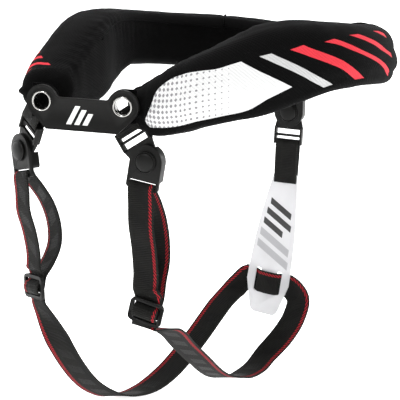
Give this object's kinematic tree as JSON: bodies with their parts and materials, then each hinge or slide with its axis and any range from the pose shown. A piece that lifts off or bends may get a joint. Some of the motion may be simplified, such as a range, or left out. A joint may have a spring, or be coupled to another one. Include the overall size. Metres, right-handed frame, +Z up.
{
  "type": "neck collar",
  "caption": "Soft foam neck collar with a rigid front plate and a snap-hung webbing harness that loops through a tongue at the nape.",
  "frame": {"origin": "centre of the neck opening, level with the foam's lower edge at the nape", "axes": "+Z up when worn, -Y the wearer's front, +X the wearer's left"},
  "size_m": [0.271, 0.297, 0.3181],
  "materials": {
    "cover_fabric": "knitted stretch fabric over foam, printed on the wearer's left",
    "plate_plastic": "moulded, fine matt grain",
    "eyelet_chrome": "polished plating",
    "buckle_plastic": "moulded, satin",
    "webbing": "woven elastic webbing with a red edge line",
    "tongue_plastic": "soft translucent plastic, satin"
  },
  "bodies": {
    "root": {"collar_pad": "cover_fabric", "front_plate": "plate_plastic", "left_eyelet": "eyelet_chrome", "right_eyelet": "eyelet_chrome", "left_buckle_body": "buckle_plastic", "left_snap_cap": "buckle_plastic", "left_buckle_link": "buckle_plastic", "right_buckle_body": "buckle_plastic", "right_snap_cap": "buckle_plastic", "right_buckle_link": "buckle_plastic", "rear_buckle_body": "buckle_plastic", "rear_snap_cap": "buckle_plastic", "rear_buckle_link": "buckle_plastic", "left_slider": "buckle_plastic", "right_slider": "buckle_plastic", "left_anchor_webbing": "webbing", "right_anchor_webbing": "webbing", "rear_anchor_webbing": "webbing", "rear_loop_webbing": "webbing", "back_tongue": "tongue_plastic", "harness_strap": "webbing"}
  },
  "joints": []
}
